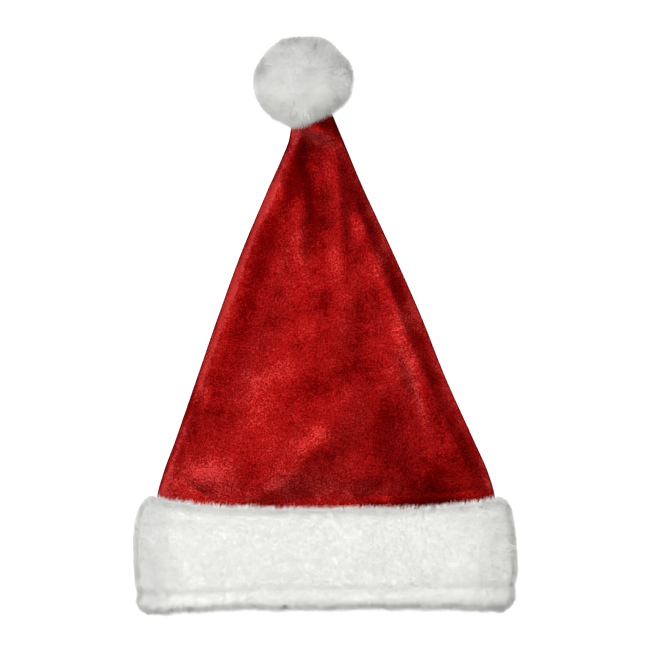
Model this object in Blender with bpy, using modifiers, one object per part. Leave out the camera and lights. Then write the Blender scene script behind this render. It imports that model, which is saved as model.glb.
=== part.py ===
"""A plush-trimmed santa hat, laid on its back on the plane z = 0.

The tip points along +Y and the mouth opens along -Y. The origin is on the surface that the
hat lies on, under the middle of its outline. All sizes are in metres.

The hat is a hollow cone of velvet, sewn from a front and a back panel along its folded
edges, with a turned-up plush cuff round its mouth and a plush pompom on its tip.
"""

import math
from collections import namedtuple

import bmesh
import bpy
from mathutils import Vector

# Driving dimensions
HAT_LENGTH = 0.458
HEM_SETBACK = 0.014
POMPOM_SIZE = Vector((0.0786, 0.0740, 0.0720))
POMPOM_SIDESTEP = -0.018

# Walls and clearances
VELVET = 0.0015
SEWN_GAP = 0.0004
PRESSED_PLUSH = 0.8

# Facets: round the hat, closer together at its folded edges, along the velvet, and the
# relief of the plush's tufts
AROUND = 60
EDGE_CROWDING = 0.16
VELVET_STEP = 0.0135
CAP_RINGS = 2
CUFF_TUFT = 0.0006
POMPOM_LOCK = 0.0022
POMPOM_LOCK_CHANGE = 0.0010

# How full the layers are: 2 is an ellipse, and more is flatter with a tighter edge
UPPER_POWER = 3.0
LOWER_POWER = 3.0

# The lines that run across the cuff: their stations at the hat's left edge, in the middle
# of its layers and at its right edge.
Line = namedtuple("Line", "left middle right")
TOP_LINE = Line(-0.1384, -0.1470, -0.1392)
SEAM_LINE = Line(-0.2144, -0.2086, -0.2076)
MOUTH_LINE = Line(-HAT_LENGTH / 2, -0.2244, -0.2268)
LINE_POWER = 2.5

HEM = -HAT_LENGTH / 2 + HEM_SETBACK
CUFF_TOP = max(TOP_LINE)
COVERED = (HEM, (HEM + CUFF_TOP) / 2, CUFF_TOP)
POMPOM_CENTRE = Vector((POMPOM_SIDESTEP, HAT_LENGTH / 2 - POMPOM_SIZE.y / 2, POMPOM_SIZE.z / 2))

# The hollow inside the velvet, one row for each station: its edges seen from above, and
# the heights of its lower layer, of the folded edges and of its upper layer. It runs
# straight from the first row to the second, inside the cuff, and smoothly from there on.
Section = namedtuple("Section", "along left right sole seam crest")
CROWN_SECTIONS = (
    Section(HEM, -0.1352, 0.1352, 0.0130, 0.0218, 0.0305),
    Section(CUFF_TOP, -0.1330, 0.1345, 0.0128, 0.0216, 0.0312),
    Section(-0.118, -0.1280, 0.1292, 0.0080, 0.0176, 0.0332),
    Section(-0.094, -0.1193, 0.1187, 0.0035, 0.0135, 0.0325),
    Section(-0.043, -0.1018, 0.0958, 0.0020, 0.0105, 0.0282),
    Section(0.009, -0.0840, 0.0752, 0.0018, 0.0085, 0.0235),
    Section(0.060, -0.0654, 0.0526, 0.0018, 0.0080, 0.0205),
    Section(0.111, -0.0438, 0.0289, 0.0025, 0.0095, 0.0195),
    Section(0.137, -0.0331, 0.0178, 0.0070, 0.0150, 0.0235),
    Section(0.150, -0.0281, 0.0120, 0.0110, 0.0195, 0.0270),
    Section(0.163, -0.0252, 0.0062, 0.0140, 0.0225, 0.0295),
)
NECK = 0.111
TIP = CROWN_SECTIONS[-1].along

# The main folds of the upper layer, one row each: middle, heading from +X, half length,
# half width, and rise, which is negative for a hollow.
Fold = namedtuple("Fold", "x y heading length width rise")
CROWN_FOLDS = (
    Fold(-0.0835, 0.005, 69, 0.130, 0.0080, 0.0028),
    Fold(-0.0600, 0.000, 69, 0.090, 0.0180, -0.0042),
    Fold(0.0740, -0.020, 113, 0.100, 0.0080, 0.0030),
    Fold(0.0630, -0.025, 113, 0.040, 0.0080, -0.0014),
    Fold(-0.0240, 0.080, 90, 0.046, 0.0080, 0.0012),
    Fold(-0.0070, 0.085, 90, 0.040, 0.0075, -0.0026),
    Fold(0.0110, 0.095, 94, 0.034, 0.0060, 0.0022),
    Fold(-0.0040, -0.030, 75, 0.050, 0.0150, 0.0016),
    Fold(0.0340, 0.075, 108, 0.020, 0.0060, 0.0014),
    Fold(0.0590, -0.008, 97, 0.036, 0.0090, 0.0026),
    Fold(0.0320, -0.010, 92, 0.030, 0.0130, -0.0018),
    Fold(-0.0140, 0.138, 92, 0.016, 0.0080, -0.0034),
    Fold(-0.0060, 0.155, 155, 0.016, 0.0050, 0.0020),
    Fold(-0.0080, -0.093, 50, 0.052, 0.0160, 0.0040),
    Fold(0.0800, -0.108, 110, 0.050, 0.0400, -0.0050),
    Fold(0.0360, -0.142, 80, 0.014, 0.0100, -0.0024),
    Fold(0.0980, -0.143, 4, 0.030, 0.0110, -0.0036),
    Fold(-0.1000, -0.134, 145, 0.016, 0.0050, -0.0014),
)

# The cuff's plush, one row for each ridge or hollow of its profile: its place, from 0 at
# the top line over 1 at the seam to 2 at the mouth, and how far the tips of the pile stand
# off the velvet at the hat's left and right edges.
Plush = namedtuple("Plush", "place left right")
CUFF_PROFILE = (
    Plush(0.00, 0.0045, 0.0045),
    Plush(0.03, 0.0085, 0.0080),
    Plush(0.10, 0.0125, 0.0112),
    Plush(0.24, 0.0155, 0.0130),
    Plush(0.43, 0.0173, 0.0150),
    Plush(0.62, 0.0165, 0.0162),
    Plush(0.80, 0.0150, 0.0168),
    Plush(0.92, 0.0138, 0.0155),
    Plush(1.00, 0.0100, 0.0120),
    Plush(1.15, 0.0125, 0.0145),
    Plush(1.50, 0.0135, 0.0148),
    Plush(1.80, 0.0100, 0.0108),
    Plush(2.00, 0.0045, 0.0045),
)

VELVET_RED = (0.38, 0.006, 0.006, 1.0)
PLUSH_WHITE = (0.86, 0.86, 0.83, 1.0)


def clear_scene():
    for old in list(bpy.data.objects):
        bpy.data.objects.remove(old, do_unlink=True)


def cloth(name, colour, roughness):
    """A fabric's Principled BSDF."""
    material = bpy.data.materials.new(name)
    material.use_nodes = True
    shader = material.node_tree.nodes["Principled BSDF"]
    shader.inputs["Base Color"].default_value = colour
    shader.inputs["Roughness"].default_value = roughness
    shader.inputs["Metallic"].default_value = 0.0
    material.diffuse_color = colour
    return material


def section_at(along):
    """The hollow's section at a station."""
    rows = CROWN_SECTIONS
    along = min(max(along, rows[0].along), rows[-1].along)
    k = max(i for i in range(len(rows) - 1) if rows[i].along <= along)
    low, high = rows[k], rows[k + 1]
    span = high.along - low.along
    t = (along - low.along) / span
    if k == 0:
        return Section(*(b + (c - b) * t for b, c in zip(low, high)))
    before, after = rows[k - 1], rows[min(k + 2, len(rows) - 1)]
    values = []
    for a, b, c, d in zip(before, low, high, after):
        enter = (c - a) / (high.along - before.along) * span
        leave = (d - b) / (after.along - low.along) * span
        values.append(
            b * (1 + 2 * t) * (1 - t) ** 2
            + enter * t * (1 - t) ** 2
            + c * t * t * (3 - 2 * t)
            - leave * t * t * (1 - t)
        )
    return Section(*values)


def turn_at(i):
    """The angle of the ring's point number i, counted from the hat's right edge over the top."""
    turn = 2 * math.pi * i / AROUND
    return turn - EDGE_CROWDING * math.sin(2 * turn)


def hollow_point(i, along):
    """Point i of the hollow's outline at a station, as x, z and fullness.

    Fullness is 0 at the folded edges, 1 at the middle of the upper layer and -1 below."""
    s = section_at(along)
    turn = turn_at(i)
    upper = math.sin(turn) >= 0
    power = 2 / (UPPER_POWER if upper else LOWER_POWER)
    across = math.copysign(abs(math.cos(turn)) ** power, math.cos(turn))
    fullness = abs(math.sin(turn)) ** power
    reach = s.crest - s.seam if upper else s.sole - s.seam
    x = (s.left + s.right) / 2 + (s.right - s.left) / 2 * across
    return x, s.seam + reach * fullness, fullness if upper else -fullness


def fold_height(x, y):
    """How far the folds lift the upper layer at a place."""
    height = 0.0
    for fold in CROWN_FOLDS:
        heading = math.radians(fold.heading)
        dx = x - fold.x
        dy = y - fold.y
        lengthwise = (dx * math.cos(heading) + dy * math.sin(heading)) / fold.length
        crosswise = (dy * math.cos(heading) - dx * math.sin(heading)) / fold.width
        height += fold.rise * math.exp(-lengthwise**2 - crosswise**2)
    return height


def seat_on_pompom(x, z):
    """The station at which the hollow has to end for its wall to lie just clear of the pompom."""
    stand_off = VELVET + SEWN_GAP
    across = (x - POMPOM_CENTRE.x) / (POMPOM_SIZE.x / 2 + stand_off)
    up = (z - POMPOM_CENTRE.z) / (POMPOM_SIZE.z / 2 + stand_off)
    return POMPOM_CENTRE.y - (POMPOM_SIZE.y / 2 + stand_off) * math.sqrt(1 - across**2 - up**2)


def crown_rings():
    """The hollow's rings from the hem to the tip, the last ones closing over the pompom's side."""
    steps = math.ceil((TIP - CUFF_TOP) / VELVET_STEP)
    stations = list(COVERED)
    stations += [CUFF_TOP + (TIP - CUFF_TOP) * i / steps for i in range(1, steps + 1)]
    end = [hollow_point(i, TIP) for i in range(AROUND)]
    rings = []
    for along in stations:
        share = max(0.0, (along - NECK) / (TIP - NECK))
        ring = []
        for i, (end_x, end_z, _) in enumerate(end):
            x, z, fullness = hollow_point(i, along)
            y = along + (seat_on_pompom(end_x, end_z) - TIP) * share
            lift = fold_height(x, y) * max(fullness, 0.0) if along > CUFF_TOP else 0.0
            ring.append(Vector((x, y, z + lift)))
        rings.append(ring)
    tip = section_at(TIP)
    middle_x = (tip.left + tip.right) / 2
    middle_z = (tip.sole + tip.crest) / 2
    for k in range(1, CAP_RINGS + 1):
        keep = 1 - k / (CAP_RINGS + 1)
        ring = []
        for edge_x, edge_z, _ in end:
            x = middle_x + (edge_x - middle_x) * keep
            z = middle_z + (edge_z - middle_z) * keep
            ring.append(Vector((x, seat_on_pompom(x, z), z)))
        rings.append(ring)
    return rings, Vector((middle_x, seat_on_pompom(middle_x, middle_z), middle_z))


def line_at(line, i):
    """The station at which a line across the cuff passes the ring's point number i."""
    across = math.cos(turn_at(i))
    bow = (line.left + line.right) / 2 - line.middle
    return line.middle + bow * abs(across) ** LINE_POWER + (line.right - line.left) / 2 * across


def place_at(place, i):
    """The station of a place on the cuff, from 0 at the top line over the seam to 2 at the mouth."""
    start, end, share = (TOP_LINE, SEAM_LINE, place) if place <= 1 else (SEAM_LINE, MOUTH_LINE, place - 1)
    return line_at(start, i) * (1 - share) + line_at(end, i) * share


def off_the_hollow(stations, distance, piles=None):
    """A ring round the hollow: `distance` off it all round, then each point's pile further out.

    The plush is pressed thinner above and below than at the folded edges, and flat where
    it meets the surface that the hat lies on."""
    ring = [Vector(hollow_point(i, along)[:2]) for i, along in enumerate(stations)]
    edges = [ring[(i + 1) % AROUND] - ring[i] for i in range(AROUND)]
    outward = [Vector((edge.y, -edge.x)).normalized() for edge in edges]
    moved = []
    for i, point in enumerate(ring):
        normal = (outward[i - 1] + outward[i]).normalized()
        mitre = distance / normal.dot(outward[i])
        thick = piles[i] * (1 - (1 - PRESSED_PLUSH) * abs(normal.y)) if piles else 0.0
        x, z = point + normal * (mitre + thick)
        moved.append(Vector((x, stations[i], max(z, 0.0))))
    return moved


def cuff_rings():
    """The cuff's rings: up the velvet to its top line, down its outside and back into the mouth."""
    face = VELVET + SEWN_GAP
    under_hem = HEM - SEWN_GAP
    rings = [off_the_hollow([along] * AROUND, face) for along in (under_hem, *COVERED[:-1])]
    rings.append(off_the_hollow([line_at(TOP_LINE, i) for i in range(AROUND)], face))
    for row, plush in enumerate(CUFF_PROFILE):
        stations = [place_at(plush.place, i) for i in range(AROUND)]
        piles = []
        for i in range(AROUND):
            share = (1 + math.cos(turn_at(i))) / 2
            tuft = CUFF_TUFT if (i + row) % 2 else -CUFF_TUFT
            piles.append(plush.left + (plush.right - plush.left) * share + tuft)
        rings.append(off_the_hollow(stations, face, piles))
    rings.append(off_the_hollow([place_at(1.93, i) for i in range(AROUND)], 0.0008))
    rings.append(off_the_hollow([under_hem] * AROUND, 0.0))
    return rings


def loft(name, rings, material, collection):
    """A surface through rows of equal count, with its faces turned to the left of the rows' way.

    A last row of one point ends the surface in a tip."""
    mesh = bpy.data.meshes.new(name)
    bm = bmesh.new()
    rows = [[bm.verts.new(point) for point in ring] for ring in rings]
    for near, far in zip(rows, rows[1:]):
        for i in range(len(near) - 1):
            if len(far) == 1:
                bm.faces.new((near[i], far[0], near[i + 1]))
            else:
                bm.faces.new((near[i], far[i], far[i + 1], near[i + 1]))
    bm.to_mesh(mesh)
    bm.free()
    mesh.shade_smooth()
    mesh.materials.append(material)
    piece = bpy.data.objects.new(name, mesh)
    collection.objects.link(piece)
    return piece


def make_panel(name, first, last, apart, collection, material):
    """A panel of the velvet between two folded edges, given its wall outwards.

    Its edges are moved apart from the other panel's, up or down, by half the seam's gap."""
    rings, tip = crown_rings()
    rows = []
    for ring in rings:
        row = [ring[i % AROUND].copy() for i in range(first, last + 1)]
        row[0].z += apart
        row[-1].z += apart
        rows.append(row)
    rows.append([tip + Vector((0.0, 0.0, apart))])
    panel = loft(name, rows, material, collection)
    wall = panel.modifiers.new("velvet", "SOLIDIFY")
    wall.thickness = VELVET
    wall.offset = 1.0
    wall.use_even_offset = True
    return panel


def make_cuff(collection, material):
    """The plush ring that is sewn round the mouth and turned up over the crown."""
    rings = [[*ring, ring[0]] for ring in cuff_rings()]
    cuff = loft("cuff", [*rings, rings[0]], material, collection)
    bm = bmesh.new()
    bm.from_mesh(cuff.data)
    bmesh.ops.remove_doubles(bm, verts=bm.verts, dist=0.00001)
    bmesh.ops.recalc_face_normals(bm, faces=bm.faces)
    bm.to_mesh(cuff.data)
    bm.free()
    return cuff


def make_pompom(collection, material):
    """A ball of plush: locks stand on the points of a geodesic ball, with hollows between them."""
    mesh = bpy.data.meshes.new("pompom")
    bm = bmesh.new()
    bmesh.ops.create_icosphere(bm, subdivisions=3, radius=1.0)
    locks = len(bm.verts)
    bmesh.ops.subdivide_edges(bm, edges=bm.edges[:], cuts=1, use_grid_fill=True)
    bm.verts.ensure_lookup_table()
    half = POMPOM_SIZE / 2
    for i, vert in enumerate(bm.verts):
        depth = 0.0 if i < locks else POMPOM_LOCK + POMPOM_LOCK_CHANGE * math.sin(i)
        direction = vert.co.normalized()
        vert.co = Vector((direction.x * half.x, direction.y * half.y, direction.z * half.z))
        vert.co -= direction * depth
    bmesh.ops.triangulate(bm, faces=bm.faces[:])
    bm.to_mesh(mesh)
    bm.free()
    mesh.shade_smooth()
    mesh.materials.append(material)
    pompom = bpy.data.objects.new("pompom", mesh)
    pompom.location = POMPOM_CENTRE
    collection.objects.link(pompom)
    return pompom


def main():
    clear_scene()
    collection = bpy.data.collections.new("santa_hat")
    bpy.context.scene.collection.children.link(collection)
    velvet = cloth("red_velvet", VELVET_RED, 0.7)
    plush = cloth("white_plush", PLUSH_WHITE, 0.95)
    half = AROUND // 2
    make_panel("crown_front", 0, half, SEWN_GAP / 2, collection, velvet)
    make_panel("crown_back", half, AROUND, -SEWN_GAP / 2, collection, velvet)
    make_cuff(collection, plush)
    make_pompom(collection, plush)


main()
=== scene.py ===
# %% [markdown]
# # A santa hat, laid on its back
# The real object is three sewn pieces: a cone of red plush velvet, a turned-up cuff of white
# plush round its mouth, and a ball of the same plush on its tip. It lies flat on a white
# table, and the camera looks straight down at it.
# The solids that come in as the frame have the right size and shape. This lesson dresses
# them: it remakes the velvet with its folds, and grows pile on the cuff and on the pompom.

# %% Load the frame
import math
from collections import namedtuple

import bmesh
import bpy
import numpy as np
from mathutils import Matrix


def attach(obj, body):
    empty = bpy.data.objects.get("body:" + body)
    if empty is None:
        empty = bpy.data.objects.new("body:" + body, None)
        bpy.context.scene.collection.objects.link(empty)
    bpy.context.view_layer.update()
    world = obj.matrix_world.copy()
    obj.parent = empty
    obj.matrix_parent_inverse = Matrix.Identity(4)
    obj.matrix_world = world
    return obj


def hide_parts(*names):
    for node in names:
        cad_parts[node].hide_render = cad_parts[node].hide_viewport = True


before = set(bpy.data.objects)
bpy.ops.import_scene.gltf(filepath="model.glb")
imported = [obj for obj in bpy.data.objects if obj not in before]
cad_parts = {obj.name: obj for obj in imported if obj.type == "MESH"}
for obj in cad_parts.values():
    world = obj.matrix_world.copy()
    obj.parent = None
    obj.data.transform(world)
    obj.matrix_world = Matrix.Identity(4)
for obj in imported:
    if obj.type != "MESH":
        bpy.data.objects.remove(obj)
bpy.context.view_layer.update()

# %% [markdown]
# ## A short way to write node trees
# Materials and generators are trees of nodes. Written out with the plain commands they are
# long, so one small class wraps a node's output: two wrapped outputs can be added or
# multiplied with + and *, and each sum becomes a Math node. Colours and directions take
# Vector Math nodes in the same way.

# %% The wrapped output
class Wire:
    """A node's output that sums and products can be written with."""

    def __init__(self, tree, socket):
        self.tree = tree
        self.socket = socket

    def maths(self, operation, *values):
        """A Math node, or a Vector Math node where a value is a direction or a colour."""
        wires = [value for value in values if isinstance(value, Wire)]
        vector = any(wire.socket.type in ("VECTOR", "RGBA") for wire in wires)
        kind = "ShaderNodeVectorMath" if vector else "ShaderNodeMath"
        return add_node(self.tree, kind, {"operation": operation}, dict(enumerate(values)))

    def __add__(self, other):
        return self.maths("ADD", self, other)

    def __radd__(self, other):
        return self.maths("ADD", other, self)

    def __sub__(self, other):
        return self.maths("SUBTRACT", self, other)

    def __rsub__(self, other):
        return self.maths("SUBTRACT", other, self)

    def __mul__(self, other):
        return self.maths("MULTIPLY", self, other)

    def __rmul__(self, other):
        return self.maths("MULTIPLY", other, self)

    def __truediv__(self, other):
        return self.maths("DIVIDE", self, other)

    def __rtruediv__(self, other):
        return self.maths("DIVIDE", other, self)

    def __pow__(self, other):
        return self.maths("POWER", self, other)


def put(tree, socket, value):
    """Links a wrapped output to a socket, or sets the socket to a plain value."""
    if isinstance(value, Wire):
        tree.links.new(value.socket, socket)
    elif socket.type == "VECTOR" and isinstance(value, (int, float)):
        socket.default_value = (value,) * 3
    else:
        socket.default_value = value


def add_node(tree, kind, settings=None, sockets=None, output=0):
    """A node of one kind: its settings first, then its sockets by name or number."""
    node = tree.nodes.new(kind)
    for name, value in (settings or {}).items():
        setattr(node, name, value)
    for key, value in (sockets or {}).items():
        put(tree, node.inputs[key], value)
    return Wire(tree, node.outputs[output])


def blend_colours(factor, low, high):
    """From the low colour at 0 to the high one at 1."""
    sockets = {0: factor, 6: low, 7: high}
    return add_node(factor.tree, "ShaderNodeMix", {"data_type": "RGBA"}, sockets, output=2)


def ramp(value, low, high):
    """0 up to the low value, 1 from the high one, and a soft rise between them."""
    sockets = {"Value": value, "From Min": low, "From Max": high}
    return add_node(value.tree, "ShaderNodeMapRange", {"interpolation_type": "SMOOTHSTEP"}, sockets)


def attribute(tree, name, output=2):
    """What the mesh stores under a name: a number, or with output 1 a direction."""
    return add_node(tree, "ShaderNodeAttribute", {"attribute_name": name}, {}, output)


def object_place(tree):
    """Where a point lies on the object, in metres."""
    return add_node(tree, "ShaderNodeTexCoord", output=3)


def parts_of(tree, vector):
    """The x, y and z of a vector."""
    node = add_node(tree, "ShaderNodeSeparateXYZ", {}, {0: vector}).socket.node
    return [Wire(tree, socket) for socket in node.outputs]


print("wires ready")

# %% [markdown]
# ## Camera
# The photograph is taken from straight above, from far enough away that the hat hardly
# widens towards the lens. A camera's own straight-down view has +Y upwards, so it needs no
# turn at all: only its height and its lens are set, from the size that one pixel covers.

# %% Look straight down
PICTURE = 650
METRES_PER_PIXEL = 0.0008
CAMERA_HEIGHT = 1.7
WIDEST_HEIGHT = 0.022

camera = bpy.data.objects.new("camera", bpy.data.cameras.new("camera"))
camera.location = (0.0, 0.0, CAMERA_HEIGHT + WIDEST_HEIGHT)
camera.data.lens = camera.data.sensor_width * CAMERA_HEIGHT / (PICTURE * METRES_PER_PIXEL)
bpy.context.scene.collection.objects.link(camera)
bpy.context.scene.camera = camera
print("lens", round(camera.data.lens, 1), "mm")

# %% [markdown]
# ## The shape of the velvet, in tables
# A hat that lies flat is a flattened tube that narrows to its tip. At each station along it
# five numbers say enough: the left and right folded edges, and the heights of the lower
# layer, of the edges and of the upper layer. The rows are the same as in the solid, so the
# fine cloth made from them lies where the solid does, but for a slant at its tip.

# %% The velvet's sections
Line = namedtuple("Line", "left middle right")
TOP_LINE = Line(-0.1384, -0.1470, -0.1392)
LINE_POWER = 2.5
VELVET = 0.0015
SEWN_GAP = 0.0004
EDGE_CROWDING = 0.16
UPPER_POWER = 3.0
LOWER_POWER = 3.0

Section = namedtuple("Section", "along left right sole seam crest")
CROWN_SECTIONS = (
    Section(-0.2150, -0.1352, 0.1352, 0.0130, 0.0218, 0.0305),
    Section(-0.1384, -0.1330, 0.1345, 0.0128, 0.0216, 0.0312),
    Section(-0.1180, -0.1280, 0.1292, 0.0080, 0.0176, 0.0332),
    Section(-0.0940, -0.1193, 0.1187, 0.0035, 0.0135, 0.0325),
    Section(-0.0430, -0.1018, 0.0958, 0.0020, 0.0105, 0.0282),
    Section(0.0090, -0.0840, 0.0752, 0.0018, 0.0085, 0.0235),
    Section(0.0600, -0.0654, 0.0526, 0.0018, 0.0080, 0.0205),
    Section(0.1110, -0.0438, 0.0289, 0.0025, 0.0095, 0.0195),
    Section(0.1370, -0.0331, 0.0178, 0.0070, 0.0150, 0.0235),
    Section(0.1500, -0.0281, 0.0120, 0.0110, 0.0195, 0.0270),
    Section(0.1630, -0.0252, 0.0062, 0.0140, 0.0225, 0.0295),
)
HEM, NECK, TIP = (CROWN_SECTIONS[i].along for i in (0, 7, 10))
print(len(CROWN_SECTIONS), "sections")

# %% [markdown]
# ## Folds and strokes, in more tables
# A row is one soft mark on the cloth: its middle, its heading in degrees, its length and its
# width. A fold has a rise, and a stroke has a tone: painted highlight or painted shade where
# light would fall on or turn from the folds, with the lighter and darker nap of velvet brushed
# one way or the other, and one painted shadow above the cuff. Bands of painted highlight and
# shade follow the folded edges.

# %% The velvet's folds
Fold = namedtuple("Fold", "x y heading length width rise")
MAIN_FOLDS = (
    Fold(-0.0835, 0.005, 69, 0.130, 0.0080, 0.0028),
    Fold(-0.0600, 0.000, 69, 0.090, 0.0180, -0.0042),
    Fold(0.0740, -0.020, 113, 0.100, 0.0080, 0.0030),
    Fold(0.0630, -0.025, 113, 0.040, 0.0080, -0.0014),
    Fold(-0.0240, 0.080, 90, 0.046, 0.0080, 0.0012),
    Fold(-0.0070, 0.085, 90, 0.040, 0.0075, -0.0026),
    Fold(0.0110, 0.095, 94, 0.034, 0.0060, 0.0022),
    Fold(-0.0040, -0.030, 75, 0.050, 0.0150, 0.0016),
    Fold(0.0340, 0.075, 108, 0.020, 0.0060, 0.0014),
    Fold(0.0590, -0.008, 97, 0.036, 0.0090, 0.0026),
    Fold(0.0320, -0.010, 92, 0.030, 0.0130, -0.0018),
    Fold(-0.0140, 0.138, 92, 0.016, 0.0080, -0.0034),
    Fold(-0.0060, 0.155, 155, 0.016, 0.0050, 0.0020),
    Fold(-0.0080, -0.093, 50, 0.052, 0.0160, 0.0040),
    Fold(0.0800, -0.108, 110, 0.050, 0.0400, -0.0050),
    Fold(0.0360, -0.142, 80, 0.014, 0.0100, -0.0024),
    Fold(0.0980, -0.143, 4, 0.030, 0.0110, -0.0036),
    Fold(-0.1000, -0.134, 145, 0.016, 0.0050, -0.0014),
)
print(len(MAIN_FOLDS), "folds")

# %% The strokes and bands of painted highlight and shade in the nap
Stroke = namedtuple("Stroke", "x y heading length width tone")
# Painted highlight and shade where light falls on or turns from the folds; the last row is a painted
# shadow above the cuff.
NAP_AND_SHADE_STROKES = (
    Stroke(-0.0560, 0.035, 71, 0.100, 0.0105, -1.05),
    Stroke(-0.0265, 0.112, 76, 0.028, 0.0080, -1.10),
    Stroke(-0.0070, 0.068, 96, 0.058, 0.0090, -1.10),
    Stroke(0.0070, 0.094, 95, 0.026, 0.0055, 0.25),
    Stroke(0.0160, 0.062, 95, 0.024, 0.0060, -0.50),
    Stroke(-0.0085, 0.151, 158, 0.020, 0.0055, 1.60),
    Stroke(0.0080, 0.158, 130, 0.010, 0.0050, -1.10),
    Stroke(0.0260, 0.055, 60, 0.024, 0.0070, -0.80),
    Stroke(0.0000, 0.020, 20, 0.020, 0.0120, -0.40),
    Stroke(0.0460, 0.050, 112, 0.020, 0.0060, 0.60),
    Stroke(0.0400, 0.028, 100, 0.012, 0.0060, -0.50),
    Stroke(0.0300, -0.012, 95, 0.028, 0.0100, -0.80),
    Stroke(0.0100, -0.044, 20, 0.034, 0.0130, -0.95),
    Stroke(0.0500, -0.068, 95, 0.028, 0.0180, -0.80),
    Stroke(0.0600, -0.008, 105, 0.034, 0.0060, 0.45),
    Stroke(0.0740, -0.058, 110, 0.022, 0.0045, 0.95),
    Stroke(0.0880, -0.075, 112, 0.026, 0.0070, -0.70),
    Stroke(0.0260, -0.100, 10, 0.030, 0.0200, -0.85),
    Stroke(0.0940, -0.118, 0, 0.024, 0.0180, -1.20),
    Stroke(0.0560, -0.127, 60, 0.010, 0.0060, 0.60),
    Stroke(-0.0380, -0.130, 10, 0.030, 0.0120, 0.70),
    Stroke(-0.0120, -0.092, 40, 0.020, 0.0080, 0.60),
    Stroke(-0.0980, -0.115, 20, 0.024, 0.0120, 0.55),
    Stroke(-0.0960, -0.058, 80, 0.012, 0.0040, 0.80),
    Stroke(-0.0480, -0.062, 20, 0.030, 0.0120, -0.55),
    Stroke(0.0620, -0.143, 0, 0.056, 0.0070, -1.30),
)

Band = namedtuple("Band", "side inset width tone")
# Painted highlight inside the left edge and on the right rim, and painted shade a little in from the
# right edge.
PAINTED_EDGE_LIGHT = (
    Band("left", 0.0040, 0.0028, 1.10),
    Band("right", 0.0030, 0.0026, 0.35),
    Band("right", 0.0115, 0.0060, -0.42),
)
print(len(NAP_AND_SHADE_STROKES), "strokes,", len(PAINTED_EDGE_LIGHT), "bands")

# %% [markdown]
# ## From rows to a smooth surface
# Between two rows of a table the values follow a cubic curve that leaves and enters each
# row with the slope of its neighbours. The same helper serves the velvet and the cuff.

# %% Smooth values between a table's rows
def along_table(rows, places, straight_first=False):
    """The table's other columns at many places along its first column."""
    table = np.array(rows)
    keys = table[:, 0]
    at = np.clip(places, keys[0], keys[-1])
    k = np.clip(np.searchsorted(keys, at, side="right") - 1, 0, len(keys) - 2)
    before, after = np.maximum(k - 1, 0), np.minimum(k + 2, len(keys) - 1)
    span = keys[k + 1] - keys[k]
    t = (at - keys[k]) / span
    columns = []
    for column in table.T[1:]:
        enter = (column[k + 1] - column[before]) / (keys[k + 1] - keys[before]) * span
        leave = (column[after] - column[k]) / (keys[after] - keys[k]) * span
        smooth = (
            column[k] * (1 + 2 * t) * (1 - t) ** 2
            + enter * t * (1 - t) ** 2
            + column[k + 1] * t * t * (3 - 2 * t)
            - leave * t * t * (1 - t)
        )
        straight = column[k] + (column[k + 1] - column[k]) * t
        columns.append(np.where((k == 0) & straight_first, straight, smooth))
    return columns


def turns(count):
    """Angles round the flattened tube from its right edge over the top, closer at both edges."""
    turn = np.arange(count) * 2 * math.pi / count
    return turn - EDGE_CROWDING * np.sin(2 * turn)


def line_at(line, turn):
    """The stations at which a line across the cuff passes the angles round the hat."""
    across = np.cos(turn)
    bow = (line.left + line.right) / 2 - line.middle
    return line.middle + bow * np.abs(across) ** LINE_POWER + (line.right - line.left) / 2 * across


def hollow(stations, turn):
    """The inside of the velvet: x, z and fullness, which is 1 in the middle of the upper layer."""
    left, right, sole, seam, crest = along_table(CROWN_SECTIONS, stations, straight_first=True)
    upper = np.sin(turn) >= 0
    power = 2 / np.where(upper, UPPER_POWER, LOWER_POWER)
    across = np.sign(np.cos(turn)) * np.abs(np.cos(turn)) ** power
    fullness = np.abs(np.sin(turn)) ** power
    x = (left + right) / 2 + (right - left) / 2 * across
    z = seam + np.where(upper, crest - seam, sole - seam) * fullness
    return x, z, np.where(upper, fullness, -fullness)


x, z, _ = hollow(np.full(4, -0.05), np.array([0.0, 0.5, 1.0, 1.5]) * math.pi)
print("section 50 mm from the middle:", x.round(4), z.round(4))

# %% [markdown]
# ## Adding up the marks
# The marks of a table are soft bumps that add up, whether they are lifts or tones. Cloth
# has smaller unevenness too, which has no rule, so it comes from a grid of random heights
# that is smoothed between its points. The seed is fixed: every run is the same.

# %% Marks and unevenness
def sum_of_marks(marks, x, y):
    """The sum of a table's soft marks at each place: lifts for folds, tones for strokes."""
    total = np.zeros(np.broadcast(x, y).shape)
    for mark_x, mark_y, degrees, length, width, amount in marks:
        heading = math.radians(degrees)
        dx, dy = x - mark_x, y - mark_y
        lengthwise = (dx * math.cos(heading) + dy * math.sin(heading)) / length
        crosswise = (dy * math.cos(heading) - dx * math.sin(heading)) / width
        total += amount * np.exp(-(lengthwise**2) - crosswise**2)
    return total


def unevenness(x, y, size, seed):
    """Smooth random heights from -1 to 1, with bumps about one size across."""
    grid = np.random.default_rng(seed).uniform(-1, 1, (64, 64))
    u, v = x / size + 32.0, y / size + 32.0
    i, j = np.floor(u).astype(int) % 63, np.floor(v).astype(int) % 63
    s, t = u - np.floor(u), v - np.floor(v)
    s, t = s * s * (3 - 2 * s), t * t * (3 - 2 * t)
    near = grid[i, j] * (1 - s) + grid[i + 1, j] * s
    far = grid[i, j + 1] * (1 - s) + grid[i + 1, j + 1] * s
    return near * (1 - t) + far * t


x, y = np.meshgrid(np.linspace(-0.1, 0.1, 90), np.linspace(-0.1, 0.1, 90))
print("highest fold", round(float(sum_of_marks(MAIN_FOLDS, x, y).max() * 1000), 2), "mm")

# %% [markdown]
# ## The velvet crown
# The cloth is a grid of points: rings round the tube, one after another from the hem to the
# tip, where the last ones close over the side of the pompom. A Solidify modifier then gives
# it the thickness of real velvet, outwards, and its inner side gets its own material.

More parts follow.
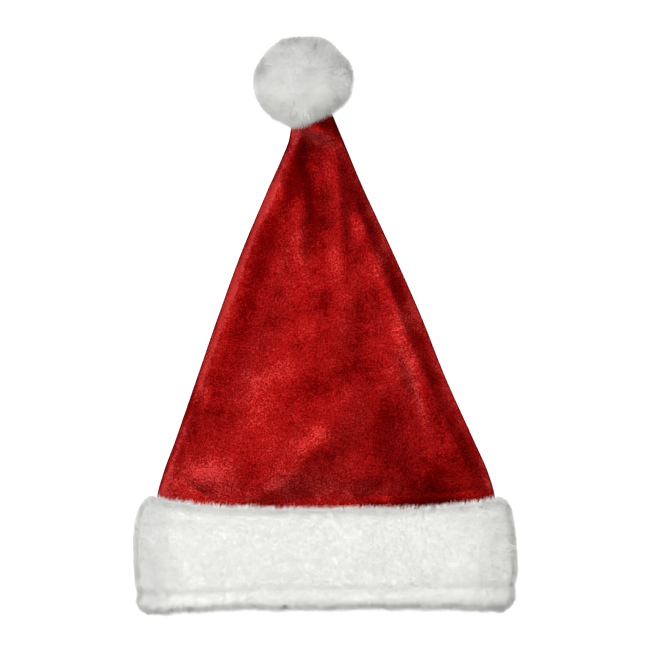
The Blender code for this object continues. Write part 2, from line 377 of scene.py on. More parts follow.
# %% The crown's rings
CROWN_AROUND = 250
CROWN_ALONG = 176
CAP_RINGS = 6
FINE_UNEVENNESS = 0.0004
EDGE_SEAM = 0.0003
EDGE_SEAM_HEIGHT = 0.0012
SHADED_EDGE = 0.0011
FADE_ABOVE_CUFF = 0.010
BAND_UNEVENNESS = 0.5
TIP_SLANT = 0.009
SLANT_FROM = -0.028
SLANT_SPAN = 0.022
TIP_TAPER = 0.45
POMPOM_SIZE = np.array((0.0786, 0.0740, 0.0720))
POMPOM_CENTRE = np.array((-0.018, 0.192, 0.036))


def slant_at(x):
    """How much further up the velvet is sewn to the pompom towards the hat's right side."""
    return TIP_SLANT * np.clip((x - SLANT_FROM) / SLANT_SPAN, 0, 1)


def seat_on_pompom(x, z):
    """The station at which the hollow ends, so that its wall lies just clear of the pompom."""
    reach = POMPOM_SIZE / 2 + VELVET + SEWN_GAP
    across, up = (x - POMPOM_CENTRE[0]) / reach[0], (z - POMPOM_CENTRE[2]) / reach[2]
    return POMPOM_CENTRE[1] - reach[1] * np.sqrt(1 - across**2 - up**2) + slant_at(x)


def sum_of_bands(x, y):
    """The painted highlight and shade of the bands along the folded edges, uneven along them."""
    left, right = x.min(axis=1, keepdims=True), x.max(axis=1, keepdims=True)
    total = np.zeros(x.shape)
    for band in PAINTED_EDGE_LIGHT:
        distance = x - left if band.side == "left" else right - x
        total += band.tone * np.exp(-(((distance - band.inset) / band.width) ** 2))
    return total * (1 + BAND_UNEVENNESS * unevenness(0 * y, y, 0.020, 12))


def fold_edge_at(x, z):
    """1 on the very edge of the outline seen from above, where the fold turns down and a dark line of
    shade is painted.
    """
    left, right = x.min(axis=1, keepdims=True), x.max(axis=1, keepdims=True)
    dx, dz = (np.roll(v, -1, axis=1) - np.roll(v, 1, axis=1) for v in (x, z))
    inward = np.minimum(x - left, right - x) + VELVET * (1 - np.abs(dz) / np.hypot(dx, dz))
    return np.exp(-((inward / SHADED_EDGE) ** 4))


def cap_over(x, z):
    """The rings that close the last one over the side of the pompom, and their last point."""
    middle = (x.mean(), z.mean())
    rings = []
    for k in range(1, CAP_RINGS + 1):
        keep = 1 - k / (CAP_RINGS + 1)
        cap_x = middle[0] + (x - middle[0]) * keep
        cap_z = middle[1] + (z - middle[1]) * keep
        rings.append(np.stack((cap_x, seat_on_pompom(cap_x, cap_z), cap_z), axis=1)[None])
    return rings, np.array((middle[0], seat_on_pompom(*middle), middle[1]))


def crown_points():
    """The inner side of the velvet: rings from the hem to the tip, the last point, the marks."""
    turn = turns(CROWN_AROUND)[None, :]
    stations = np.linspace(HEM, TIP, CROWN_ALONG)[:, None] + 0 * turn
    x, z, fullness = hollow(stations, turn + 0 * stations)
    share = np.clip((stations - NECK) / (TIP - NECK), 0, 1)
    y = stations + (seat_on_pompom(x[-1], z[-1]) - TIP)[None, :] * share
    x = x - TIP_TAPER * slant_at(x) * share
    free = np.clip((stations - line_at(TOP_LINE, turn)) / FADE_ABOVE_CUFF, 0, 1)
    top = np.maximum(fullness, 0) * free
    # Painted highlight and shade on the upper layer: the strokes and the edge bands.
    nap_and_shade = (sum_of_marks(NAP_AND_SHADE_STROKES, x, y) + sum_of_bands(x, y)) * (fullness > 0)
    marks = {"nap_and_shade": nap_and_shade, "fold_edge": fold_edge_at(x, z)}
    z = z + sum_of_marks(MAIN_FOLDS, x, y) * top
    z = z + FINE_UNEVENNESS * (unevenness(x, y, 0.012, 3) + unevenness(x, y, 0.028, 4)) * top
    at_seam = np.exp(-((z - z[:, :1]) ** 2) / EDGE_SEAM_HEIGHT**2)
    edge = at_seam * np.abs(np.cos(turn)) ** 8 * free
    x = x - EDGE_SEAM * np.sign(np.cos(turn)) * edge
    cap, tip = cap_over(x[-1], z[-1])
    no_marks = np.zeros(CAP_RINGS * CROWN_AROUND + 1)
    marks = {name: np.append(mark, no_marks) for name, mark in marks.items()}
    return np.concatenate([np.stack((x, y, z), axis=2)] + cap), tip, marks


crown_rings, crown_tip, crown_marks = crown_points()
print("crown grid", crown_rings.shape[:2])

# %% Rings to a mesh
def tube_mesh(name, rings, tip=None):
    """A mesh through rings of points, with its place round and along as a map called OFBake."""
    count, around = rings.shape[:2]
    points = rings.reshape(-1, 3)
    if tip is not None:
        points = np.vstack((points, tip))
    faces, places = [], []
    for i in range(count - 1):
        for j in range(around):
            k = (j + 1) % around
            faces.append((i * around + j, i * around + k, (i + 1) * around + k, (i + 1) * around + j))
            places += [(j, i), (j + 1, i), (j + 1, i + 1), (j, i + 1)]
    if tip is not None:
        last = (count - 1) * around
        for j in range(around):
            faces.append((last + j, last + (j + 1) % around, count * around))
            places += [(j, count - 1), (j + 1, count - 1), (j + 0.5, count)]
    mesh = bpy.data.meshes.new(name)
    mesh.from_pydata(points.tolist(), [], faces)
    uv_map = mesh.uv_layers.new(name="OFBake")
    uv = np.array(places, dtype=float) / (around, count)
    uv_map.data.foreach_set("uv", uv.ravel())
    mesh.shade_smooth()
    return mesh


def new_piece(name, mesh, *materials):
    """An object for the mesh, at the origin, with its materials."""
    piece = bpy.data.objects.new(name, mesh)
    bpy.context.scene.collection.objects.link(piece)
    for material in materials:
        mesh.materials.append(material)
    return piece


def finished(piece):
    """The piece with its modifiers worked into a plain mesh."""
    depsgraph = bpy.context.evaluated_depsgraph_get()
    mesh = bpy.data.meshes.new_from_object(piece.evaluated_get(depsgraph))
    piece.modifiers.clear()
    piece.data = mesh
    mesh.name = piece.name
    return piece


def triangles(piece):
    """How many triangles the piece's faces come to."""
    return sum(len(face.vertices) - 2 for face in piece.data.polygons)


print("mesh helpers ready")

# %% [markdown]
# ## Velvet
# Plush velvet is a knit with short hairs that lie over. Light glances off them in the
# colour of the cloth and not in white, so the shader is nearly metallic, with only a little
# sheen. The hairs lie in brushed patches, lighter or darker by the way they lean: patches
# come from slow noise and the mottled grain from fine noise, in colour and in bump. The
# strokes and bands from the tables paint highlight and shade into the colour where light
# would fall on or turn from the folds, with a painted shadow above the cuff. On the very edge
# of a fold a dull dark line is painted shade.

# %% The velvet's materials
# The three reds are blended by noise and by the painted highlight and shade of the strokes.
VELVET_DEEP = (0.060, 0.0003, 0.0003, 1)
VELVET_RED = (0.155, 0.0028, 0.0027, 1)
VELVET_LIT = (0.300, 0.0190, 0.0175, 1)
# A painted dark line of shade on the folds' edges.
VELVET_EDGE_SHADE = (0.020, 0.0005, 0.0005, 1)
KNIT_RED = (0.240, 0.0060, 0.0060, 1)


def new_material(name, roughness, **constants):
    """A material with a Principled shader, and the shader's settings that are the same all over."""
    material = bpy.data.materials.new(name)
    material.use_nodes = True
    shader = material.node_tree.nodes["Principled BSDF"]
    shader.inputs["Roughness"].default_value = roughness
    for socket, value in constants.items():
        shader.inputs[socket.replace("_", " ")].default_value = value
    return material, material.node_tree, shader


def noise(tree, place, scale, detail=2.0, roughness=0.5):
    """Noise from 0 to 1, with the scale in bumps per metre."""
    sockets = {"Vector": place, "Scale": scale, "Detail": detail, "Roughness": roughness}
    return add_node(tree, "ShaderNodeTexNoise", {}, sockets)


def bump(height, strength, distance, normal=None):
    """A Bump node's normal for heights from 0 to 1, on the surface's own normal or another."""
    sockets = {"Height": height, "Strength": strength, "Distance": distance}
    if normal is not None:
        sockets["Normal"] = normal
    return add_node(height.tree, "ShaderNodeBump", {}, sockets)


def make_velvet():
    """The right side of the cloth: its nap with painted highlight and shade, its grain, and a painted
    dark line on its folds' edges.
    """
    material, tree, shader = new_material(
        "red_velvet",
        0.50,
        Specular_Tint=(1.0, 0.20, 0.18, 1),
        Sheen_Weight=0.10,
        Sheen_Roughness=0.30,
        Sheen_Tint=(1.0, 0.05, 0.04, 1),
        Specular_IOR_Level=0.0,
        IOR=1.0,
    )
    place = object_place(tree)
    brushed = noise(tree, place, 26, 2.5)
    blotch = noise(tree, place, 150, 3.0, 0.6)
    grain = noise(tree, place, 800, 2.0, 0.7)
    # Painted highlight and shade from the strokes and edge bands, added into the nap.
    strokes = attribute(tree, "nap_and_shade")
    nap_and_shade = brushed * 0.40 + blotch * 0.18 + grain * 0.42 + strokes * 0.14
    colour = blend_colours(ramp(nap_and_shade, 0.35, 0.50), VELVET_DEEP, VELVET_RED)
    colour = blend_colours(ramp(nap_and_shade, 0.50, 0.65), colour, VELVET_LIT)
    colour = colour * (0.78 + 0.46 * ramp(grain, 0.30, 0.70))
    # Painted shade: a dark, dull line along the very edge of each fold.
    fold_edge = attribute(tree, "fold_edge")
    put(tree, shader.inputs["Base Color"], blend_colours(fold_edge, colour, VELVET_EDGE_SHADE))
    put(tree, shader.inputs["Metallic"], 0.90 - 0.90 * fold_edge)
    put(tree, shader.inputs["Roughness"], 0.36 + 0.12 * blotch + 0.50 * fold_edge)
    put(tree, shader.inputs["Normal"], bump(blotch * 0.4 + grain * 0.6, 0.6, 0.0011))
    return material


def make_knit():
    """The wrong side of the cloth: the ribs of its knit."""
    material, tree, shader = new_material("velvet_back", 0.9, Specular_IOR_Level=0.1)
    place = object_place(tree)
    settings = {"wave_type": "BANDS", "bands_direction": "X"}
    wales = add_node(tree, "ShaderNodeTexWave", settings, {"Vector": place, "Scale": 260.0}, output=1)
    mottle = noise(tree, place, 300)
    put(tree, shader.inputs["Base Color"], blend_colours(ramp(mottle, 0.3, 0.7), VELVET_DEEP, KNIT_RED))
    put(tree, shader.inputs["Normal"], bump(wales, 0.4, 0.0004))
    return material


velvet = make_velvet()
knit = make_knit()
print("materials:", velvet.name, knit.name)

# %% Two sides on one map, and the girth
def part_the_sides(mesh):
    """Moves the map of the outer side next to that of the inner one, so that none overlap."""
    uv = np.zeros(len(mesh.loops) * 2)
    mesh.uv_layers["OFBake"].data.foreach_get("uv", uv)
    sides = [face.material_index for face in mesh.polygons]
    side = np.repeat(sides, [face.loop_total for face in mesh.polygons])
    uv = uv.reshape(-1, 2) * (0.49, 1) + np.stack((side * 0.5, 0 * side), axis=1)
    mesh.uv_layers["OFBake"].data.foreach_set("uv", uv.ravel())


def girths_of(rings):
    """How long each ring is, once round."""
    steps = np.roll(rings, -1, axis=1) - rings
    return np.hypot(steps[:, :, 0], steps[:, :, 2]).sum(axis=1)


girths = girths_of(crown_rings[:CROWN_ALONG])

# %% The crown
crown = new_piece("crown_velvet", tube_mesh("crown_velvet", crown_rings, crown_tip), velvet, knit)
for mark, values in crown_marks.items():
    crown.data.attributes.new(mark, "FLOAT", "POINT").data.foreach_set("value", values)
crown.data.flip_normals()
wall = crown.modifiers.new("wall", "SOLIDIFY")
wall.thickness = VELVET
wall.offset = 1.0
wall.use_even_offset = True
wall.material_offset = 1
wall.material_offset_rim = 1
finished(crown)
part_the_sides(crown.data)
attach(crown, "root")
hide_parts("crown_front", "crown_back")
print("crown:", triangles(crown), "triangles")

# %% [markdown]
# ## The cuff's ground
# Plush is a knitted ground with hairs standing on it. First comes the ground: a ring round
# the velvet, a hair's rise below the surface of the solid. Three lines run across the
# cuff, its top edge, the groove of its seam and its mouth edge, each a little bowed, and
# the table says how thick the plush is between them at the hat's two edges.

# %% The cuff's lines and its thickness
SEAM_LINE = Line(-0.2144, -0.2086, -0.2076)
MOUTH_LINE = Line(-0.2290, -0.2244, -0.2268)
PRESSED_PLUSH = 0.8

Plush = namedtuple("Plush", "place left right")
CUFF_PROFILE = (
    Plush(0.00, 0.0045, 0.0045),
    Plush(0.03, 0.0085, 0.0080),
    Plush(0.10, 0.0125, 0.0112),
    Plush(0.24, 0.0155, 0.0130),
    Plush(0.43, 0.0173, 0.0150),
    Plush(0.62, 0.0165, 0.0162),
    Plush(0.80, 0.0150, 0.0168),
    Plush(0.92, 0.0138, 0.0155),
    Plush(1.00, 0.0100, 0.0120),
    Plush(1.15, 0.0125, 0.0145),
    Plush(1.50, 0.0135, 0.0148),
    Plush(1.80, 0.0100, 0.0108),
    Plush(2.00, 0.0045, 0.0045),
)


def place_at(place, turn):
    """The stations of a place on the cuff, from 0 at the top line over the seam to 2 at the mouth."""
    if place <= 1:
        return line_at(TOP_LINE, turn) * (1 - place) + line_at(SEAM_LINE, turn) * place
    return line_at(SEAM_LINE, turn) * (2 - place) + line_at(MOUTH_LINE, turn) * (place - 1)


def off_the_hollow(stations, turn, distance, pile):
    """A ring round the hollow: the distance off it all round, then the pile further out."""
    x, z, _ = hollow(stations, turn)
    dx, dz = np.roll(x, -1) - np.roll(x, 1), np.roll(z, -1) - np.roll(z, 1)
    length = np.hypot(dx, dz)
    nx, nz = dz / length, -dx / length
    thick = distance + pile * (1 - (1 - PRESSED_PLUSH) * np.abs(nz))
    return np.stack((x + nx * thick, stations, z + nz * thick), axis=1)


print("cuff from", TOP_LINE.left, "to", MOUTH_LINE.left)

# %% The cuff's ground
CUFF_AROUND = 220
CUFF_PLACES = 46
PILE_RISE = 0.0020
PILE_FLOOR = 0.0006
GROOVE_FILL = 0.0018
GROOVE_WIDTH = 0.09
EDGE_WOBBLE = 0.0007
LUMPS = 0.0007
THINNEST = 0.0006
HALF_ROUND = 0.15
LOWER_HALF_SHIFT = 0.4


def cuff_ground_rings(sunk):
    """The ground's outside, from the top line to the mouth, sunk below the tips of the pile."""
    turn = turns(CUFF_AROUND)
    share = (1 + np.cos(turn)) / 2
    rings = []
    for place in np.linspace(0, 2, CUFF_PLACES):
        left, right = along_table(CUFF_PROFILE, np.array([place]))
        sunk_here = sunk - GROOVE_FILL * np.exp(-(((place - 1) / GROOVE_WIDTH) ** 2))
        pile = left + (right - left) * share
        round_hat = np.cos(turn) * HALF_ROUND + LOWER_HALF_SHIFT * (turn > math.pi)
        at_edges = math.exp(-((place / 0.10) ** 2)) + 1.6 * math.exp(-(((place - 2) / 0.30) ** 2))
        wobble = unevenness(round_hat, 0 * turn, 0.011, 21)
        wobble = wobble + 0.6 * unevenness(round_hat, 0 * turn, 0.005, 22)
        stations = place_at(place, turn) + EDGE_WOBBLE * at_edges * wobble
        lump = unevenness(round_hat * 2, stations, 0.016, 8)
        thick = np.maximum(pile - sunk_here + LUMPS * lump, THINNEST)
        ring = off_the_hollow(stations, turn, VELVET + SEWN_GAP, thick)
        ring[:, 2] = np.maximum(ring[:, 2], PILE_FLOOR)
        rings.append(ring)
    return rings


def cuff_inside_rings():
    """The ground's inside: back under the hem and up along the velvet."""
    turn = turns(CUFF_AROUND)
    nothing = np.zeros(CUFF_AROUND)
    face = VELVET + SEWN_GAP
    under_hem = HEM - SEWN_GAP + nothing
    rings = [off_the_hollow(place_at(1.93, turn), turn, 0.0008, nothing)]
    rings.append(off_the_hollow(under_hem, turn, 0.0, nothing))
    rings.append(off_the_hollow(under_hem, turn, face, nothing))
    for share in np.linspace(0, 1, 6):
        stations = under_hem * (1 - share) + line_at(TOP_LINE, turn) * share
        rings.append(off_the_hollow(stations, turn, face, nothing))
    return rings


outside = cuff_ground_rings(PILE_RISE)
inside = cuff_inside_rings()
cuff_rings = np.array(outside + inside)
print("cuff rings", cuff_rings.shape[:2])

# %% [markdown]
# ## White plush
# The hairs are white, and a little darker and warmer at their roots, where less light comes
# in. Every hair carries two numbers from the tree that grows it: how far along it a point
# is, and a random tone, so no two neighbours are quite the same.
# Fine hairs pass light on from one to the next, so a crowd of them has no dark sides. The
# shader stands in for that: it lets a little light through, and shades a hair mostly by a
# direction called lie, which is the ground's own, tilted upwards. A third number says where
# grey is painted in as shade: at the cuff's ends, most at the left one, along its top, and
# over the pompom but for its side by the velvet.

# %% The plush's materials
PLUSH_ROOT = (0.885, 0.885, 0.855, 1)
PLUSH_TIP = (0.93, 0.93, 0.90, 1)
PLUSH_SHADE = (0.91, 0.915, 0.89, 1)
# The grey painted in as shade where the plush turns from the light.
PLUSH_PAINTED_SHADE = (0.725, 0.73, 0.712, 1)
SOFTNESS = 0.95
GLOW = 0.12
GROUND_LIFT = 1.0


def make_pile():
    """The hairs."""
    material, tree, shader = new_material(
        "white_plush", 0.85, Sheen_Weight=0.25, Sheen_Roughness=0.5, Specular_IOR_Level=0.2
    )
    tip = blend_colours(attribute(tree, "tone"), PLUSH_SHADE, PLUSH_TIP)
    colour = blend_colours(ramp(attribute(tree, "reach"), -0.1, 0.7), PLUSH_ROOT, tip)
    # Painted shade: grey blended in by the stored amount.
    colour = blend_colours(attribute(tree, "painted_shade"), colour, PLUSH_PAINTED_SHADE)
    put(tree, shader.inputs["Base Color"], colour)
    facing = add_node(tree, "ShaderNodeNewGeometry", output=1)
    soft = facing * (1.0 - SOFTNESS) + attribute(tree, "lie", output=1) * SOFTNESS
    put(tree, shader.inputs["Normal"], soft.maths("NORMALIZE", soft))
    glow = add_node(tree, "ShaderNodeBsdfTranslucent", {}, {"Color": colour})
    sockets = {0: GLOW, 1: Wire(tree, shader.outputs[0]), 2: glow}
    mixed = add_node(tree, "ShaderNodeMixShader", {}, sockets)
    put(tree, tree.nodes["Material Output"].inputs["Surface"], mixed)
    return material


def make_ground():
    """The knit between the hairs."""
    material, tree, shader = new_material("plush_ground", 0.95, Specular_IOR_Level=0.1)
    mottle = noise(tree, object_place(tree), 420, 3.0)
    colour = blend_colours(mottle, PLUSH_ROOT, PLUSH_SHADE)
    # Painted shade: grey blended in by the stored amount.
    colour = blend_colours(attribute(tree, "painted_shade"), colour, PLUSH_PAINTED_SHADE)
    put(tree, shader.inputs["Base Color"], colour)
    up = add_node(tree, "ShaderNodeCombineXYZ", {}, {0: 0.0, 1: 0.0, 2: GROUND_LIFT})
    raised = add_node(tree, "ShaderNodeNewGeometry", output=1) + up
    raised = raised.maths("NORMALIZE", raised)
    put(tree, shader.inputs["Normal"], bump(mottle, 0.3, 0.001, raised))
    return material


pile = make_pile()
ground = make_ground()
print("materials:", pile.name, ground.name)

# %% Where the cuff's pile gets painted shade
CUFF_MIDDLE = -0.001
HALF_CUFF = 0.150
SHADED_ENDS = 0.90
ENDS_WIDTH = 0.10
SHADED_TOP = -0.139
TOP_WIDTH = 0.020


def mark_painted_shade(mesh, painted_shade_at):
    """Stores how much painted shade each point of a ground gets."""
    points = np.zeros(len(mesh.vertices) * 3)
    mesh.vertices.foreach_get("co", points)
    values = painted_shade_at(points.reshape(-1, 3))
    mesh.attributes.new("painted_shade", "FLOAT", "POINT").data.foreach_set("value", values)


def cuff_painted_shade(points):
    """Painted shade on the cuff's pile near its folded ends, most at the left one, and along its top.
    """
    across = (points[..., 0] - CUFF_MIDDLE) / HALF_CUFF
    ends = np.exp(-(((np.abs(across) - SHADED_ENDS) / ENDS_WIDTH) ** 2))
    top = np.exp(-(((points[..., 1] - SHADED_TOP) / TOP_WIDTH) ** 2))
    return np.clip((0.62 - 0.12 * across) * ends + 0.30 * top, 0, 1)


outside = np.array(outside)
# The painted shade on the cuff's outside rings.
shade_on_cuff = cuff_painted_shade(outside)
print("opened at most", round(float(shade_on_cuff.max()), 2))

# %% The cuff's ground as a piece
def closed_ring(name, rings):
    """A tube mesh whose last ring is joined back to its first."""
    mesh = tube_mesh(name, np.concatenate((rings, rings[:1])))
    bm = bmesh.new()
    bm.from_mesh(mesh)
    bmesh.ops.remove_doubles(bm, verts=bm.verts, dist=0.00001)
    bmesh.ops.recalc_face_normals(bm, faces=bm.faces)
    bm.to_mesh(mesh)
    bm.free()
    return mesh


cuff = new_piece("cuff_ground", closed_ring("cuff_ground", cuff_rings), ground)
mark_painted_shade(cuff.data, cuff_painted_shade)
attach(cuff, "root")
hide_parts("cuff")
print("cuff ground:", triangles(cuff), "triangles")

# %% [markdown]
# ## Growing the pile
# Tens of thousands of hairs repeat one simple form over a surface, which is what Geometry
# Nodes are for. The tree scatters points over a ground, lays a small tapering blade on each
# one, leaned over with its flat side outwards, and gathers neighbours into tufts with slow
# noise. Its sizes are named inputs, so the cuff and the pompom share one tree.

# %% Short ways to store and to draw numbers
def store(tree, geometry, name, value, data_type="FLOAT", domain="POINT"):
    """The geometry with a value stored under a name."""
    settings = {"data_type": data_type, "domain": domain}
    sockets = {"Geometry": geometry, "Name": name, "Value": value}
    return add_node(tree, "GeometryNodeStoreNamedAttribute", settings, sockets)


def stored(tree, name, data_type="FLOAT"):
    """What the geometry stores under a name."""
    return add_node(tree, "GeometryNodeInputNamedAttribute", {"data_type": data_type}, {"Name": name})


def random_number(tree, low, high, seed):
    """A number for each hair, the same in every run."""
    sockets = {2: low, 3: high, "Seed": seed}
    return add_node(tree, "FunctionNodeRandomValue", {"data_type": "FLOAT"}, sockets, output=1)


print("geometry helpers ready")

# %% One blade, and how it is turned
BLADE_DROOP = -0.18
ABOVE_TABLE = 0.0002


def blade_shape(tree):
    """A strip one unit long, whose two end points meet in a tip."""
    sizes = {"Size X": 1.0, "Size Y": 1.0, "Vertices X": 2, "Vertices Y": 3}
    strip = add_node(tree, "GeometryNodeMeshGrid", {}, sizes)
    x, y, _ = parts_of(tree, add_node(tree, "GeometryNodeInputPosition"))
    reach = y + 0.5
    taper = 1.0 - reach**2.0
    places = {0: x * taper, 1: reach**2.0 * BLADE_DROOP, 2: reach}
    shaped = add_node(tree, "ShaderNodeCombineXYZ", {}, places)
    strip = store(tree, strip, "reach", reach)
    strip = store(tree, strip, "side", x)
    blade = add_node(tree, "GeometryNodeSetPosition", {}, {"Geometry": strip, "Position": shaped})
    return add_node(tree, "GeometryNodeMergeByDistance", {}, {"Geometry": blade, "Distance": 0.001})


def hair_turns(tree, given, normal):
    """How each hair is turned: risen, gathered into its tuft, a little astray, and combed."""
    place = add_node(tree, "GeometryNodeInputPosition")
    sockets = {"Vector": place, "Scale": 1.0 / given["Tuft size"], "Detail": 1.5}
    slow = add_node(tree, "ShaderNodeTexNoise", {}, sockets, output=1)
    sockets = {"Min": (-1, -1, -1), "Max": (1, 1, 1), "Seed": given["Seed"]}
    jitter = add_node(tree, "FunctionNodeRandomValue", {"data_type": "FLOAT_VECTOR"}, sockets)
    comb = stored(tree, "comb", "FLOAT_VECTOR")
    lean = (slow - 0.5) * given["Tufting"] + jitter * given["Lean"] + comb
    heading = normal * given["Rise"] + lean
    align = "FunctionNodeAlignRotationToVector"
    upright = add_node(tree, align, {"axis": "Z"}, {"Vector": heading})
    sockets = {"Rotation": upright, "Vector": normal}
    return add_node(tree, align, {"axis": "Y", "pivot_axis": "Z"}, sockets)


def press_and_map(tree, given, hairs):
    """Real mesh, none of it in the table, with a map that has a small patch for each hair."""
    hairs = add_node(tree, "GeometryNodeRealizeInstances", {}, {"Geometry": hairs})
    x, y, z = parts_of(tree, add_node(tree, "GeometryNodeInputPosition"))
    places = {0: x, 1: y, 2: z.maths("MAXIMUM", z, ABOVE_TABLE)}
    pressed = add_node(tree, "ShaderNodeCombineXYZ", {}, places)
    hairs = add_node(tree, "GeometryNodeSetPosition", {}, {"Geometry": hairs, "Position": pressed})
    side = stored(tree, "side") * given["Map size"]
    along = stored(tree, "reach") * given["Map size"] * 2.0
    patch = add_node(tree, "ShaderNodeCombineXYZ", {}, {0: side, 1: along, 2: 0.0})
    root = stored(tree, "ground_map", "FLOAT_VECTOR")
    return store(tree, hairs, "OFBake", root + patch, "FLOAT2", "CORNER")


print("blade helpers ready")

# %% The tree that grows the pile
INPUTS = (
    ("Density", "NodeSocketFloat"),
    ("Length", "NodeSocketFloat"),
    ("Width", "NodeSocketFloat"),
    ("Rise", "NodeSocketFloat"),
    ("Lift", "NodeSocketFloat"),
    ("Lean", "NodeSocketFloat"),
    ("Tufting", "NodeSocketFloat"),
    ("Tuft size", "NodeSocketFloat"),
    ("Seed", "NodeSocketInt"),
    ("Map size", "NodeSocketFloat"),
)


def make_pile_tree(material):
    """Blades on every face of the incoming mesh, as one plain mesh."""
    tree = bpy.data.node_groups.new("pile", "GeometryNodeTree")
    tree.interface.new_socket("Ground", in_out="INPUT", socket_type="NodeSocketGeometry")
    for name, kind in INPUTS:
        tree.interface.new_socket(name, in_out="INPUT", socket_type=kind)
    tree.interface.new_socket("Pile", in_out="OUTPUT", socket_type="NodeSocketGeometry")
    group_in = tree.nodes.new("NodeGroupInput")
    given = {socket.name: Wire(tree, socket) for socket in group_in.outputs if socket.name}

    sockets = {
        "Mesh": given["Ground"],
        "Density": stored(tree, "cover") * given["Density"],
        "Seed": given["Seed"],
    }
    scatter = add_node(tree, "GeometryNodeDistributePointsOnFaces", {}, sockets).socket.node
    normal = Wire(tree, scatter.outputs["Normal"])
    up = add_node(tree, "ShaderNodeCombineXYZ", {}, {0: 0.0, 1: 0.0, 2: given["Lift"]})
    points = Wire(tree, scatter.outputs["Points"])
    points = store(tree, points, "lie", normal + up, "FLOAT_VECTOR")
    length = given["Length"]
    sizes = {0: given["Width"], 1: length, 2: length * random_number(tree, 0.75, 1.15, 7)}
    sockets = {
        "Points": points,
        "Instance": blade_shape(tree),
        "Rotation": hair_turns(tree, given, normal),
        "Scale": add_node(tree, "ShaderNodeCombineXYZ", {}, sizes),
    }
    hairs = add_node(tree, "GeometryNodeInstanceOnPoints", {}, sockets)
    hairs = store(tree, hairs, "tone", random_number(tree, 0.0, 1.0, 11), domain="INSTANCE")
    hairs = press_and_map(tree, given, hairs)
    sockets = {"Geometry": hairs, "Material": material}
    hairs = add_node(tree, "GeometryNodeSetMaterial", {}, sockets)
    put(tree, tree.nodes.new("NodeGroupOutput").inputs["Pile"], hairs)
    return tree


pile_tree = make_pile_tree(pile)
print("pile tree:", len(pile_tree.nodes), "nodes")

# %% Grow a piece of pile
MAP_SIZE = 0.002


def ground_map(rings):
    """Where each ring point lies in the map: round the ring, and along it."""
    count, around = rings.shape[:2]
    u, v = np.meshgrid(np.arange(around) / around, np.linspace(0, 0.98, count))
    return np.stack((u, v, 0 * u), axis=2)


def grow_pile(name, rings, comb, cover, painted_shade, **sizes):
    """Pile on a surface through rings of points, as a plain mesh."""
    mesh = tube_mesh(name, rings)
    marks = (
        ("comb", "FLOAT_VECTOR", "vector", comb),
        ("cover", "FLOAT", "value", cover),
        ("painted_shade", "FLOAT", "value", painted_shade),
        ("ground_map", "FLOAT_VECTOR", "vector", ground_map(rings)),
    )
    for mark, kind, field, values in marks:
        mesh.attributes.new(mark, kind, "POINT").data.foreach_set(field, values.reshape(-1))
    piece = new_piece(name, mesh, pile)
    modifier = piece.modifiers.new("pile", "NODES")
    modifier.node_group = pile_tree
    items = pile_tree.interface.items_tree
    given = {item.name: item.identifier for item in items if item.in_out == "INPUT"}
    for key, value in {**sizes, "Map size": MAP_SIZE}.items():
        modifier[given[key.replace("_", " ")]] = value
    finished(piece)
    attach(piece, "root")
    print(name, triangles(piece), "triangles")


print("ready to grow")

# %% The fringe at the cuff's outline
FRINGE_TOP = 0.06
FRINGE_MOUTH = 1.74
FRINGE_ENDS = 0.997
FRINGE_SHADE = 0.2


def cuff_fringe():
    """More upright hairs where the outline shows them: at the cuff's lines and its ends."""
    place = np.linspace(0, 2, CUFF_PLACES)[:, None]
    ends = np.abs(np.cos(turns(CUFF_AROUND)))[None, :] > FRINGE_ENDS
    cover = np.where((place < FRINGE_TOP) | (place > FRINGE_MOUTH) | ends, 1.0, 0.0)
    grow_pile(
        "cuff_fringe",
        outside,
        np.zeros(outside.shape),
        cover,
        # The fringe takes a fifth of the cuff's painted shade.
        shade_on_cuff * FRINGE_SHADE,
        Density=4.0e6,
        Length=0.0044,
        Width=0.00020,
        Rise=0.85,
        Lift=1.3,
        Lean=0.35,
        Tufting=1.9,
        Tuft_size=0.0035,
        Seed=9,
    )


cuff_fringe()

# %% The cuff's pile
SEAM_RING = CUFF_PLACES // 2
LAST_RING = CUFF_PLACES - 1
HALVES_MEET = -0.05

Patch = namedtuple("Patch", "name first last upper density lift seed")
PATCHES = (
    Patch("cuff_pile_face", 0, SEAM_RING, True, 2.9e6, 1.1, 1),
    Patch("cuff_pile_back", 0, SEAM_RING, False, 1.2e6, 1.1, 2),
    Patch("cuff_pile_lip", SEAM_RING, LAST_RING, True, 2.9e6, 1.3, 3),
    Patch("cuff_pile_lip_back", SEAM_RING, LAST_RING, False, 1.2e6, 1.3, 4),
)


def cuff_pile(patch):
    """Pile on some of the cuff's rings, on its upper or lower half."""
    rings = outside[patch.first : patch.last + 1]
    half = np.sin(turns(CUFF_AROUND))[None, :] * np.ones((len(rings), 1))
    grow_pile(
        patch.name,
        rings,
        np.zeros(rings.shape),
        np.where((half > HALVES_MEET) == patch.upper, 1.0, 0.0),
        # The cuff's painted shade, on these rings.
        shade_on_cuff[patch.first : patch.last + 1],
        Density=patch.density,
        Length=0.0058,
        Width=0.00016,
        Rise=0.45,
        Lift=patch.lift,
        Lean=0.45,
        Tufting=0.6,
        Tuft_size=0.012,
        Seed=patch.seed,
    )


for patch in PATCHES:
    cuff_pile(patch)

# %% [markdown]
# ## The pompom
# The ball is the same plush, clipped by hand, so it isn't quite round: a table says how far
# its outline reaches at each heading. Its ground is a ball a little smaller than the solid,
# made of rings like the cuff, and it swells a little round the place where it is sewn on.

# %% The pompom's ground
BALL_AROUND = 120
BALL_RINGS = 60
BALL_RISE = 0.0034
BALL_LUMPS = 0.0012
BY_THE_POLE = 0.0001
JOINT_PUFF = 0.03
JOINT_RADIUS = 0.016
JOINT_WIDTH = 0.010

